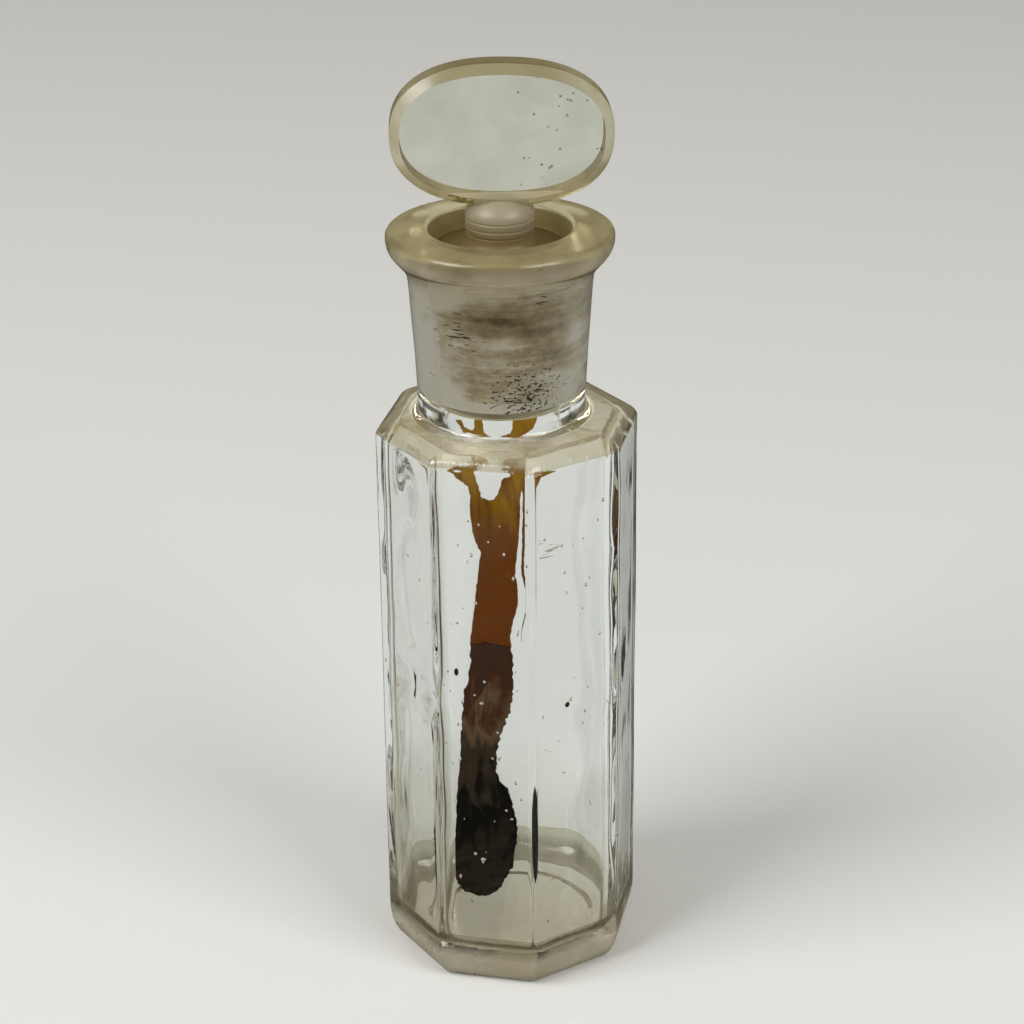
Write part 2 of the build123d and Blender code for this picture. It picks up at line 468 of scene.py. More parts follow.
# Knot and fold in the moulding, where two pours met at one edge
press((-5.3, -11.5, 30.7), 1.3, (0.42, 0.85, 0))
press((-5.0, -11.6, 29.7), 0.9, (-0.15, -0.3, 0))
press((-8.3, -8.3, 31.8), 2.0, (0.6, 0.65, 0))
press((-6.9, -9.7, 30.8), 1.5, (-0.2, -0.25, 0))


# Dried perfume, cut from a thin skin that follows the inner wall and floor of the chamber
def skin(name, seat, depth):
    # The chamber's own shape, drawn in by the seat, with a thickness inwards
    # Its corners are rounder than it is thick, so that the thickness doesn't fold over there
    corner = 2.5 * depth
    shell = prism(
        name, INNER - seat, HEEL_TOP, SKIN_TOP, corner, corner_steps=4, side_cuts=2, height_cuts=0
    )
    draw_chamber_heel(seat, steps=5)
    bpy.ops.mesh.edge_face_add()
    bpy.ops.mesh.select_all(action="SELECT")
    bpy.ops.mesh.normals_make_consistent(inside=False)
    side = next(f for f in bmesh.from_edit_mesh(shell.data).faces if abs(f.normal.z) < 0.1)
    if side.normal.xy.dot(side.calc_center_median().xy) < 0:
        bpy.ops.mesh.flip_normals()
    close_mesh()
    apply_modifier(shell, "SOLIDIFY", thickness=depth * MM, offset=-1)
    face_outwards(shell)
    return shell


def ragged(points, step, jitter, seed):
    # An outline with points every step, each a little off the line
    chance = random.Random(seed)
    made = []
    for start, end in zip(points, points[1:] + points[:1]):
        span = (Vector(end) - Vector(start)).length
        parts = max(1, round(span / step))
        for i in range(parts):
            at = Vector(start).lerp(Vector(end), i / parts)
            made.append(at + Vector((chance.uniform(-jitter, jitter), chance.uniform(-jitter, jitter))))
    return made


def cutter(name, points, placing, low, high):
    # A block with the given outline, from low to high along the placing's third axis
    line = bpy.data.curves.new(name, "CURVE")
    line.dimensions = "2D"
    line.fill_mode = "BOTH"
    line.extrude = (high - low) / 2 * MM
    spline = line.splines.new("POLY")
    spline.points.add(len(points) - 1)
    for point, at in zip(spline.points, points):
        point.co = (at.x * MM, at.y * MM, 0, 1)
    spline.use_cyclic_u = True
    block = bpy.data.objects.new(name, line)
    bpy.context.scene.collection.objects.link(block)
    only(block)
    bpy.ops.object.convert(target="MESH")
    block = bpy.context.object
    block.data.transform(placing @ Matrix.Translation((low + high) / 2 * MM * UP))
    open_mesh()
    bpy.ops.mesh.remove_doubles(threshold=1e-6)
    bpy.ops.mesh.normals_make_consistent(inside=False)
    close_mesh()
    return block


def keep_inside(piece, block):
    # Only what lies inside the block stays
    apply_modifier(piece, "BOOLEAN", operation="INTERSECT", solver="EXACT", object=block)
    bpy.data.objects.remove(block)


# Upright plane of the front: x across, y up, z towards the camera
UPRIGHT = Matrix((ACROSS, UP, -BACK)).transposed().to_4x4()
# Level plane: x across, y towards the back, z up
LEVEL = Matrix((ACROSS, BACK, UP)).transposed().to_4x4()

# The film's outline, on the upright plane: its left edge and the left leg, which splits at its top
film_outline = [(-3.85, FILM_FOOT), (-3.7, 28.4), (-3.26, 30.6), (-2.8, 32.7), (-2.5, 35.2), (-2.34, 37)]
film_outline += [(-2.12, 38.1), (-2.5, 39), (-3.0, 40.6), (-3.05, 41.7), (-2.86, 43.8), (-3.2, 45.6)]
film_outline += [(-3.9, 46.7), (-4.8, 47.8), (-5.5, 49.2), (-6.2, 50.8), (-6.8, FILM_TOP)]
film_outline += [(-5.6, FILM_TOP), (-5.0, 50.8), (-4.3, 49.4), (-3.7, 50.6), (-3.5, FILM_TOP)]
# The notch between the legs, then the right leg
film_outline += [(-2.6, FILM_TOP), (-2.5, 50.4), (-2.6, 48.4), (-2.4, 46.8), (-1.95, 44.8)]
film_outline += [(-1.75, 43.5), (-1.3, 43.1), (-0.9, 43.3), (-0.5, 44.3), (-0.2, 45.7), (0.6, 47.0)]
film_outline += [(1.0, 49.2), (1.4, FILM_TOP), (4.3, FILM_TOP), (4.1, 50.4), (3.6, 48.2), (3.3, 46.9)]
# The thin drip, down and up again, and the film's right edge
film_outline += [(2.8, 45.4), (2.4, 43.2), (2.38, 40.0), (2.36, 36.0), (2.38, 32.0), (2.3, 28.2)]
film_outline += [(2.14, 31.6), (1.98, 36.0), (1.95, 40.0), (1.95, 43.2), (1.93, 44.8), (1.75, 45.1)]
film_outline += [(1.62, 44.0), (1.55, 41.5), (1.25, 37.0), (1.0, 32.5), (0.85, FILM_FOOT)]
film = skin("dried_film", SEAT, FILM_DEPTH)
keep_inside(film, cutter("film outline", ragged(film_outline, 0.35, 0.06, 3), UPRIGHT, -11, 0))

# The crust's outline on the upright plane, down its left side and up its right, and on the floor
crust_edge = [(-3.85, FILM_FOOT), (-4.0, 25.8), (-4.44, 21.8), (-5.05, 17.3), (-5.55, 12.7), (-5.87, 6.9)]
crust_edge += [(-5.9, 2), (0.4, 2), (0.51, 5.4), (0.6, 8), (0.35, 10.7), (-0.5, 11.2), (-0.75, 12.2)]
crust_edge += [(-0.54, 14.9), (-0.25, 17.6), (0.02, 19.7), (0.36, 23.3), (0.81, 27.0), (0.85, FILM_FOOT)]
floor_edge = [(-8, 11), (-8, 6), (-5.8, 4.8), (-5.2, 3.0), (-4.6, 2.1), (-3.5, 1.6), (-2.3, 1.5)]
floor_edge += [(-1.2, 2.1), (-0.6, 3.2), (0.1, 6), (1.5, 7.5), (3, 8), (3, 11)]
crust = skin("dried_crust", SEAT, CRUST_DEPTH)
keep_inside(crust, cutter("crust outline", ragged(crust_edge, 0.3, 0.12, 5), UPRIGHT, -11, 8))
keep_inside(crust, cutter("crust foot", ragged(floor_edge, 0.3, 0.15, 7), LEVEL, 0, 40))


# Seeds: small bubbles of air inside the walls, some stretched upwards
def seed_bubble(place, radius, stretch):
    clear()
    bpy.ops.mesh.primitive_ico_sphere_add(
        subdivisions=2, radius=radius * MM, location=Vector(place) * MM
    )
    bubble = bpy.context.object
    bubble.scale = (1, 1, stretch)
    apply_place()
    open_mesh()
    bpy.ops.mesh.flip_normals()
    close_mesh()
    bpy.ops.object.shade_smooth()
    return bubble


chance = random.Random(11)
bubbles = [
    seed_bubble(BLACKENED_SEEDS[0], 0.26, 1.1),
    seed_bubble(BLACKENED_SEEDS[1], 0.22, 1.9),
    seed_bubble((-0.35, -11.0, 31.53), 0.2, 0.8),
    seed_bubble((-0.39, -11.0, 14.28), 0.26, 0.7),
    seed_bubble((-1.18, -11.0, 14.85), 0.17, 1.0),
    seed_bubble(SLIVER, 0.25, 22),
]
# Fine seeds in each wall: how many, and which way the wall faces in degrees
for count, side in ((46, -90), (30, -45), (8, -135), (8, 0), (10, 90), (8, 180), (8, 45), (8, 135)):
    wall = Matrix.Rotation(math.radians(side), 3, "Z")
    for i in range(count):
        outwards, sideways = chance.uniform(10.35, 11.45), chance.uniform(-4.2, 4.2)
        place = wall @ Vector((outwards, sideways, chance.uniform(5, 52)))
        bubbles.append(seed_bubble(place, chance.uniform(0.05, 0.15), chance.uniform(0.8, 2.0)))

# Smooth, with the large flat faces keeping their own direction beside the small rounded ones
for piece, sharp in ((glass, 38), (stopper, 35)):
    only(piece)
    bpy.ops.object.shade_smooth_by_angle(angle=math.radians(sharp))
    apply_modifier(piece, "WEIGHTED_NORMAL", keep_sharp=True, weight=70)
only(glass)
for bubble in bubbles:
    bubble.select_set(True)
bpy.ops.object.join()


# Materials
def colour(code):
    # sRGB hex to linear
    parts = [int(code[i : i + 2], 16) / 255 for i in (1, 3, 5)]
    return [c / 12.92 if c <= 0.04045 else ((c + 0.055) / 1.055) ** 2.4 for c in parts] + [1]


def connect(tree, made, links):
    # Each socket takes a value, another socket, or another node's first output in use
    for socket, value in links.items():
        if isinstance(value, bpy.types.Node):
            value = next(output for output in value.outputs if output.enabled)
        if isinstance(value, bpy.types.NodeSocket):
            tree.links.new(value, made.inputs[socket])
        else:
            made.inputs[socket].default_value = value


def node(tree, kind, links=None, **settings):
    made = tree.nodes.new(kind)
    for name, value in settings.items():
        setattr(made, name, value)
    connect(tree, made, links or {})
    return made


def colour_stops(ramp, *stops):
    # Position and colour from the first stop to the last
    elements = ramp.color_ramp.elements
    elements[0].position, elements[1].position = stops[0][0], stops[-1][0]
    elements[0].color, elements[1].color = colour(stops[0][1]), colour(stops[-1][1])
    for position, code in stops[1:-1]:
        elements.new(position).color = colour(code)


def per_mm(*counts):
    # How many grains or lines of a pattern lie in a millimetre along x, y and z
    return [count / MM for count in counts]


def new_material(name):
    made = bpy.data.materials.new(name)
    made.use_nodes = True
    tree = made.node_tree
    return made, tree, tree.nodes["Principled BSDF"]


GLASS_IOR = 1.52
FROSTED_TONE = "#C8BE9F"


def moulded_glass():
    # Soda-lime glass, moulded and aged: clear with a very faint straw tint
    made, tree, shader = new_material("soda_lime_glass_moulded")
    place = node(tree, "ShaderNodeTexCoord").outputs["Object"]
    # A few slanting scratches, 0.3 mm wide, about one place on the wide right facet
    scuff = Vector((6.4, -10.3, 47.8)) * MM
    away = node(tree, "ShaderNodeVectorMath", {0: place, 1: scuff}, operation="DISTANCE")
    reach = {"From Min": 0.4 * MM, "From Max": 2.4 * MM, "To Min": 0.6, "To Max": 0.8}
    bar = node(tree, "ShaderNodeMapRange", {"Value": away, **reach})
    slant = {"Rotation": (0, 0.6, 0), "Scale": per_mm(0.5, 0.5, 3.6)}
    slanted = node(tree, "ShaderNodeMapping", {"Vector": place, **slant})
    hairs = node(tree, "ShaderNodeTexNoise", {"Vector": slanted, "Scale": 1, "Detail": 2})
    scratched = node(tree, "ShaderNodeMath", {0: hairs, 1: bar}, operation="GREATER_THAN")
    tones = {"A": colour("#FCFCF9"), "B": colour("#8A887A")}
    tone = node(tree, "ShaderNodeMix", {"Factor": scratched, **tones}, data_type="RGBA")
    finish = {"Base Color": tone, "Roughness": 0.01, "IOR": GLASS_IOR, "Transmission Weight": 1}
    connect(tree, shader, finish)
    return made


def ground_glass():
    # The same glass where it was ground to fit: hazy and dirty. The real grinding marks are too
    # fine to show, so they are drawn 0.3 mm apart
    made, tree, shader = new_material("soda_lime_glass_ground")
    place = node(tree, "ShaderNodeTexCoord").outputs["Object"]
    axes = node(tree, "ShaderNodeSeparateXYZ", {"Vector": place})
    level = axes.outputs["Z"]
    turned_place = node(tree, "ShaderNodeMapping", {"Vector": place, "Scale": per_mm(0.09, 0.09, 3.2)})
    scratches = node(tree, "ShaderNodeTexNoise", {"Vector": turned_place, "Scale": 1, "Detail": 4})
    wide = node(tree, "ShaderNodeMapping", {"Vector": place, "Scale": per_mm(0.26, 0.26, 0.44)})
    spread = {"Scale": 1, "Detail": 5, "Roughness": 0.65}
    blotches = node(tree, "ShaderNodeTexNoise", {"Vector": wide, **spread})
    mixed = {0: scratches, 1: 0.34, 2: blotches}
    streaky = node(tree, "ShaderNodeMath", mixed, operation="MULTIPLY_ADD")
    # Dirt sits in the middle of the joint, less at its foot and at its top. Its left side is painted
    # paler, a painted highlight
    foot = {"From Min": 60 * MM, "From Max": 68 * MM, "To Min": -0.22, "To Max": 0.06}
    upper = node(tree, "ShaderNodeMapRange", {"Value": level, **foot})
    head = {"From Min": 69 * MM, "From Max": 72.5 * MM, "To Max": -0.32}
    top = node(tree, "ShaderNodeMapRange", {"Value": level, **head})
    band = node(tree, "ShaderNodeMath", {0: upper, 1: top}, operation="ADD")
    # Painted highlight: the joint is painted paler towards its left side
    left_highlight_span = {"From Min": -5.2 * MM, "From Max": -1.8 * MM, "To Min": -0.28, "To Max": 0.04}
    painted_left_highlight = node(tree, "ShaderNodeMapRange", {"Value": axes.outputs["X"], **left_highlight_span})
    dirt_and_left_highlight = node(tree, "ShaderNodeMath", {0: band, 1: painted_left_highlight}, operation="ADD")
    soiled_and_lit = node(tree, "ShaderNodeMath", {0: streaky, 1: dirt_and_left_highlight}, operation="ADD")
    haze = node(tree, "ShaderNodeValToRGB", {"Fac": soiled_and_lit})
    colour_stops(haze, (0.46, "#FAF8F0"), (0.67, "#C9BC98"), (0.92, "#75643E"))
    # Brown in the mouth, above the plug
    over_plug = {"From Min": 73.2 * MM, "From Max": 73.4 * MM}
    mouth = node(tree, "ShaderNodeMapRange", {"Value": level, **over_plug})
    under_top = {"From Min": 75.5 * MM, "From Max": 75.2 * MM}
    below = node(tree, "ShaderNodeMapRange", {"Value": level, **under_top})
    brown = node(tree, "ShaderNodeMath", {0: mouth, 1: below}, operation="MULTIPLY")
    tones = {"Factor": brown, "A": haze, "B": colour("#7E6836")}
    mouth_brown = node(tree, "ShaderNodeMix", tones, data_type="RGBA")
    # Black specks of 0.2 to 0.4 mm low on the right of the joint
    low_right = Vector((2.6, -5.0, 61.1)) * MM
    here = node(tree, "ShaderNodeVectorMath", {0: place, 1: low_right}, operation="DISTANCE")
    thinning = {"From Min": 0.3 * MM, "From Max": 5.2 * MM, "To Min": 0.51, "To Max": 0.74}
    near = node(tree, "ShaderNodeMapRange", {"Value": here, **thinning})
    fine = node(tree, "ShaderNodeMapping", {"Vector": place, "Scale": per_mm(2.6, 2.6, 4.8)})
    grains = node(tree, "ShaderNodeTexNoise", {"Vector": fine, "Scale": 1, "Detail": 3})
    black = node(tree, "ShaderNodeMath", {0: grains, 1: near}, operation="GREATER_THAN")
    tones = {"Factor": black, "A": mouth_brown, "B": colour("#23272A")}
    specked = node(tree, "ShaderNodeMix", tones, data_type="RGBA")
    # Dark worn streaks: one patch left of the middle, one high on the right
    on_left = Vector((-2.8, -5.7, 67.2)) * MM
    on_right = Vector((4.4, -5.0, 71.2)) * MM
    left_patch = node(tree, "ShaderNodeVectorMath", {0: place, 1: on_left}, operation="DISTANCE")
    right_patch = node(tree, "ShaderNodeVectorMath", {0: place, 1: on_right}, operation="DISTANCE")
    nearer = node(tree, "ShaderNodeMath", {0: left_patch, 1: right_patch}, operation="MINIMUM")
    thinning = {"From Min": 0.3 * MM, "From Max": 3.0 * MM, "To Min": 0.54, "To Max": 0.74}
    bar = node(tree, "ShaderNodeMapRange", {"Value": nearer, **thinning})
    turns = node(tree, "ShaderNodeMapping", {"Vector": place, "Scale": per_mm(0.7, 0.7, 4.2)})
    lines = node(tree, "ShaderNodeTexNoise", {"Vector": turns, "Scale": 1, "Detail": 4})
    scored = node(tree, "ShaderNodeMath", {0: lines, 1: bar}, operation="GREATER_THAN")
    tones = {"Factor": scored, "A": specked, "B": colour("#54442A")}
    tone = node(tree, "ShaderNodeMix", tones, data_type="RGBA")
    relief = node(tree, "ShaderNodeBump", {"Height": scratches, "Strength": 0.15, "Distance": 0.04 * MM})
    finish = {"Roughness": 0.5, "IOR": GLASS_IOR, "Transmission Weight": 0.48}
    connect(tree, shader, {"Base Color": tone, "Normal": relief, **finish})
    return made


def worn_glass():
    # Glass dulled by wear: the bottle's lip and the finial's rim, straw-coloured where it is thick
    made, tree, shader = new_material("soda_lime_glass_worn")
    place = node(tree, "ShaderNodeTexCoord").outputs["Object"]
    level = node(tree, "ShaderNodeSeparateXYZ", {"Vector": place}).outputs["Z"]
    patches = node(tree, "ShaderNodeTexNoise", {"Vector": place, "Scale": 0.35 / MM, "Detail": 3})
    dull = node(tree, "ShaderNodeMapRange", {"Value": patches, "To Min": 0.12, "To Max": 0.34})
    # The finial's ends are paler than its rim above and below: painted light
    over_stem = {"From Min": 77.2 * MM, "From Max": 77.6 * MM}
    on_finial = node(tree, "ShaderNodeMapRange", {"Value": level, **over_stem})
    oval_middle = Vector((-0.48, -0.13, 84.4)) * MM
    from_middle = node(tree, "ShaderNodeVectorMath", {0: place, 1: oval_middle}, operation="DISTANCE")
    lit_ends_span = {"From Min": 7.5 * MM, "From Max": 10.2 * MM}
    painted_lit_ends = node(tree, "ShaderNodeMapRange", {"Value": from_middle, **lit_ends_span})
    pale = node(tree, "ShaderNodeMath", {0: painted_lit_ends, 1: on_finial}, operation="MULTIPLY")
    # Lip and rim both darken upwards
    lip_span = {"From Min": 73.8 * MM, "From Max": 75.0 * MM}
    lip_rise = node(tree, "ShaderNodeMapRange", {"Value": level, **lip_span})
    tones = {"A": colour("#F2EBD0"), "B": colour("#BAAC7C")}
    lip_tone = node(tree, "ShaderNodeMix", {"Factor": lip_rise, **tones}, data_type="RGBA")
    rim_span = {"From Min": 79.5 * MM, "From Max": 88.5 * MM}
    rim_rise = node(tree, "ShaderNodeMapRange", {"Value": level, **rim_span})
    tones = {"A": colour("#EEE6C2"), "B": colour("#8C7D54")}
    rim_tone = node(tree, "ShaderNodeMix", {"Factor": rim_rise, **tones}, data_type="RGBA")
    tones = {"Factor": on_finial, "A": lip_tone, "B": rim_tone}
    piece_tone = node(tree, "ShaderNodeMix", tones, data_type="RGBA")
    # Painted light: the finial's ends take this paler tone
    tones = {"Factor": pale, "A": piece_tone, "B": colour("#B6B095")}
    straw = node(tree, "ShaderNodeMix", tones, data_type="RGBA")
    # Crumbs of dirt of up to half a millimetre under the oval, and fewer at a mark in the lip
    under_oval = finial_placing @ (Vector((-3.3, -1.6, -6.0)) * MM)
    gap = node(tree, "ShaderNodeVectorMath", {0: place, 1: under_oval}, operation="DISTANCE")
    lip_mark = Vector((4.9, -8.6, 74.0)) * MM
    mark = node(tree, "ShaderNodeVectorMath", {0: place, 1: lip_mark}, operation="DISTANCE")
    fewer = node(tree, "ShaderNodeMath", {0: mark, 1: 1.1 * MM}, operation="ADD")
    nearest = node(tree, "ShaderNodeMath", {0: gap, 1: fewer}, operation="MINIMUM")
    thinning = {"From Min": 0.5 * MM, "From Max": 2.4 * MM, "To Min": 0.42, "To Max": 0.75}
    bar = node(tree, "ShaderNodeMapRange", {"Value": nearest, **thinning})
    crumbs = node(tree, "ShaderNodeTexNoise", {"Vector": place, "Scale": 1.8 / MM, "Detail": 3})
    caked = node(tree, "ShaderNodeMath", {0: crumbs, 1: bar}, operation="GREATER_THAN")
    tones = {"Factor": caked, "A": straw, "B": colour("#8C7A34")}
    soiled_and_lit = node(tree, "ShaderNodeMix", tones, data_type="RGBA")
    blurred = {"From Min": 0.45, "From Max": 0.68, "To Max": 0.6}
    smudge = node(tree, "ShaderNodeMapRange", {"Value": patches, **blurred})
    tones = {"Factor": smudge, "A": soiled_and_lit, "B": colour("#948458")}
    tone = node(tree, "ShaderNodeMix", tones, data_type="RGBA")
    through = node(tree, "ShaderNodeMapRange", {"Value": pale, "To Min": 0.76, "To Max": 0.62})
    finish = {"Base Color": tone, "Roughness": dull, "Transmission Weight": through, "IOR": GLASS_IOR}
    connect(tree, shader, finish)
    return made


def polished_glass():
    # The finial's faces: polished, with a faint grey haze
    made, tree, shader = new_material("soda_lime_glass_polished")
    place = node(tree, "ShaderNodeTexCoord").outputs["Object"]
    axes = node(tree, "ShaderNodeSeparateXYZ", {"Vector": place})
    cloudy = node(tree, "ShaderNodeTexNoise", {"Vector": place, "Scale": 0.26 / MM, "Detail": 4})
    grey = node(tree, "ShaderNodeValToRGB", {"Fac": cloudy})
    colour_stops(grey, (0.35, "#CAC9BA"), (0.65, "#DCDBCE"))
    # A few specks of dirt on the right half, at most one to a millimetre
    dots = node(tree, "ShaderNodeTexVoronoi", {"Vector": place, "Scale": 0.9 / MM, "Randomness": 1.0})
    speck = node(tree, "ShaderNodeMath", {0: dots, 1: 0.12}, operation="LESS_THAN")
    few = node(tree, "ShaderNodeMath", {0: cloudy, 1: 0.46}, operation="GREATER_THAN")
    past_middle = {0: axes.outputs["X"], 1: 1.2 * MM}
    right_half = node(tree, "ShaderNodeMath", past_middle, operation="GREATER_THAN")
    there = node(tree, "ShaderNodeMath", {0: few, 1: right_half}, operation="MULTIPLY")
    dirt = node(tree, "ShaderNodeMath", {0: speck, 1: there}, operation="MULTIPLY")
    tones = {"Factor": dirt, "A": grey, "B": colour("#6A6450")}
    dirty = node(tree, "ShaderNodeMix", tones, data_type="RGBA")
    # At its foot the front face runs into the frosted stem
    rising = {"From Min": 79.4 * MM, "From Max": 79.3 * MM}
    low = node(tree, "ShaderNodeMapRange", {"Value": axes.outputs["Z"], **rising})
    in_front = node(tree, "ShaderNodeMath", {0: axes.outputs["Y"], 1: 0.0}, operation="LESS_THAN")
    foot = node(tree, "ShaderNodeMath", {0: low, 1: in_front}, operation="MULTIPLY")
    tones = {"Factor": foot, "A": dirty, "B": colour(FROSTED_TONE)}
    tone = node(tree, "ShaderNodeMix", tones, data_type="RGBA")
    rough = node(tree, "ShaderNodeMapRange", {"Value": foot, "To Min": 0.06, "To Max": 0.4})
    through = node(tree, "ShaderNodeMapRange", {"Value": foot, "To Min": 0.95, "To Max": 0.55})
    finish = {"Base Color": tone, "Roughness": rough, "Transmission Weight": through, "IOR": GLASS_IOR}
    connect(tree, shader, finish)
    return made


def satin_glass():
    # The heel and the shoulder, rubbed to a satin by standing and handling. The real scuffs are
    # too fine to show, so they are drawn 1 mm wide
    made, tree, shader = new_material("soda_lime_glass_satin")
    place = node(tree, "ShaderNodeTexCoord").outputs["Object"]
    level = node(tree, "ShaderNodeSeparateXYZ", {"Vector": place}).outputs["Z"]
    rubbed = node(tree, "ShaderNodeTexNoise", {"Vector": place, "Scale": 0.24 / MM, "Detail": 4})
    # The wear fades from the base upwards and from the neck outwards
    heel_wear = 1.7
    downwards = {"From Min": 4.6 * MM, "From Max": 3.0 * MM, "To Max": heel_wear}
    lower = node(tree, "ShaderNodeMapRange", {"Value": level, **downwards})
    inwards = {"From Min": 55.7 * MM, "From Max": 56.7 * MM, "To Max": 0.8}
    upper = node(tree, "ShaderNodeMapRange", {"Value": level, **inwards})
    share = node(tree, "ShaderNodeMath", {0: lower, 1: upper}, operation="ADD")
    unevenly = {"From Min": 0.3, "From Max": 0.7, "To Min": 0.12, "To Max": 0.3}
    dull = node(tree, "ShaderNodeMapRange", {"Value": rubbed, **unevenly})
    rough = node(tree, "ShaderNodeMath", {0: dull, 1: share, 2: 0.01}, operation="MULTIPLY_ADD")
    fading = {"From Max": heel_wear, "To Min": 1.0, "To Max": 0.5}
    through = node(tree, "ShaderNodeMapRange", {"Value": share, **fading})
    crazed = node(tree, "ShaderNodeTexNoise", {"Vector": place, "Scale": 1.1 / MM, "Detail": 4})
    uneven = node(tree, "ShaderNodeBump", {"Height": crazed, "Strength": 0.3, "Distance": 0.2 * MM})
    high = node(tree, "ShaderNodeMath", {0: level, 1: 30 * MM}, operation="GREATER_THAN")
    tones = {"Factor": high, "A": colour("#C2BCA8"), "B": colour("#C8BFA2")}
    satin_tone = node(tree, "ShaderNodeMix", tones, data_type="RGBA")
    blurred = {"From Min": 0.45, "From Max": 0.65, "To Max": 0.5}
    spots = node(tree, "ShaderNodeMapRange", {"Value": rubbed, **blurred})
    tones = {"Factor": spots, "A": satin_tone, "B": colour("#A0936C")}
    tone = node(tree, "ShaderNodeMix", tones, data_type="RGBA")
    finish = {"Roughness": rough, "Transmission Weight": through, "Normal": uneven, "IOR": GLASS_IOR}
    connect(tree, shader, {"Base Color": tone, **finish})
    return made


def frosted_glass():
    # The stem, frosted all over by its fine turned rings, browner in the lowest ones
    made, tree, shader = new_material("soda_lime_glass_frosted")
    place = node(tree, "ShaderNodeTexCoord").outputs["Object"]
    level = node(tree, "ShaderNodeSeparateXYZ", {"Vector": place}).outputs["Z"]
    stem_span = {"From Min": 75.0 * MM, "From Max": 76.8 * MM}
    brown_fading_up = node(tree, "ShaderNodeMapRange", {"Value": level, **stem_span})
    tones = {"Factor": brown_fading_up, "A": colour("#8A7446"), "B": colour(FROSTED_TONE)}
    tone = node(tree, "ShaderNodeMix", tones, data_type="RGBA")
    finish = {"Base Color": tone, "Roughness": 0.4, "IOR": GLASS_IOR, "Transmission Weight": 0.62}
    connect(tree, shader, finish)
    return made


def edge_dirt():
    # Brown dirt that has settled along an edge, dry and dull
    made, tree, shader = new_material("dirt_in_edge")
    connect(tree, shader, {"Base Color": colour("#6E6030"), "Roughness": 0.8})
    return made


def painted_dark_seeds():
    # Black painted into seeds in the glass: painted shade for the darkness that refraction shows there
    made, tree, shader = new_material("painted_shade_in_seeds")
    connect(tree, shader, {"Base Color": colour("#2A2C26"), "Roughness": 0.6})
    return made


def perfume_film():
    # Dried perfume: an amber film with upright runs about 1 mm wide, which lets light through
    made, tree, shader = new_material("dried_perfume_film")
    place = node(tree, "ShaderNodeTexCoord").outputs["Object"]
    runs = node(tree, "ShaderNodeMapping", {"Vector": place, "Scale": per_mm(0.9, 0.9, 0.18)})
    blotches = node(tree, "ShaderNodeTexNoise", {"Vector": runs, "Scale": 1, "Detail": 4})
    height = node(tree, "ShaderNodeSeparateXYZ", {"Vector": place}).outputs["Z"]
    film_span = {"From Min": FILM_FOOT * MM, "From Max": FILM_TOP * MM}
    level = node(tree, "ShaderNodeMapRange", {"Value": height, **film_span})
    strong = node(tree, "ShaderNodeMath", {0: blotches, 1: 1.8, 2: -0.4}, operation="MULTIPLY_ADD")
    mixed = node(tree, "ShaderNodeMath", {0: level, 1: strong}, operation="ADD")
    centred = node(tree, "ShaderNodeMath", {0: mixed, 1: 0.5}, operation="SUBTRACT")
    amber = node(tree, "ShaderNodeValToRGB", {"Fac": centred})
    colour_stops(amber, (0, "#8A4604"), (0.5, "#8C4E04"), (1, "#C8940F"))
    finish = {"Roughness": 0.4, "Specular IOR Level": 0.15, "IOR": 1.45, "Transmission Weight": 0.7}
    connect(tree, shader, {"Base Color": amber, **finish})
    return made


def perfume_crust():
    # Dried perfume, thick: a dull, nearly black crust with paler smears 1.5 mm wide
    made, tree, shader = new_material("dried_perfume_crust")
    place = node(tree, "ShaderNodeTexCoord").outputs["Object"]
    runs = node(tree, "ShaderNodeMapping", {"Vector": place, "Scale": per_mm(0.7, 0.7, 0.25)})
    blotches = node(tree, "ShaderNodeTexNoise", {"Vector": runs, "Scale": 1, "Detail": 5})
    height = node(tree, "ShaderNodeSeparateXYZ", {"Vector": place}).outputs["Z"]
    crust_span = {"From Min": FLOOR * MM, "From Max": FILM_FOOT * MM}
    level = node(tree, "ShaderNodeMapRange", {"Value": height, **crust_span})
    mixed = node(tree, "ShaderNodeMath", {0: blotches, 1: 0.9, 2: level}, operation="MULTIPLY_ADD")
    centred = node(tree, "ShaderNodeMath", {0: mixed, 1: 0.45}, operation="SUBTRACT")
    dark = node(tree, "ShaderNodeValToRGB", {"Fac": centred})
    foot = ((0.04, "#30271E"), (0.15, "#0C0907"), (0.25, "#070504"), (0.36, "#40352A"))
    head = ((0.5, "#44382C"), (0.66, "#7E664C"), (0.78, "#58321F"), (1, "#4E3930"))
    colour_stops(dark, *foot, *head)
    connect(tree, shader, {"Base Color": dark, "Roughness": 0.8, "Specular IOR Level": 0.06})
    return made


moulded = moulded_glass()
ground = ground_glass()
worn = worn_glass()
satin = satin_glass()
seed_shade_paint = painted_dark_seeds()
polished = polished_glass()
frosted = frosted_glass()
soil = edge_dirt()


def off_axis(point):
    # Distance from the axis that neck, bore and stopper share
    return (point.xy - NECK.xy).length


def bottle_finish(face):
    spot = face.center / MM
    if spot.z > 73.0 and off_axis(spot) > 6.75:
        # The lip, worn dull by handling
        return worn
    if JOINT_FOOT < spot.z < JOINT_TOP and off_axis(spot) < 6.8:
        return ground
    # Rubbed glass: the heel, but not the chamber inside it or the dish below, and the shoulder
    outwards = face.normal.z < 0.05 and face.normal.xy.dot(spot.xy) > 0
    heel_rubbed = spot.z < 5.0 and spot.xy.length > 9.3 and outwards
    shoulder_rubbed = 55.65 < spot.z < 57.4 and face.normal.z > 0.1 and off_axis(spot) > 8.9
    if heel_rubbed or shoulder_rubbed:
        return satin
    # Painted shade: the sliver and the two dark seeds are painted black
    in_sliver = abs(spot.z - SLIVER[2]) < 5.9 and (spot.xy - Vector(SLIVER).xy).length < 0.27
    if in_sliver or any((spot - Vector(seed)).length < 0.5 for seed in BLACKENED_SEEDS):
        return seed_shade_paint
    return moulded


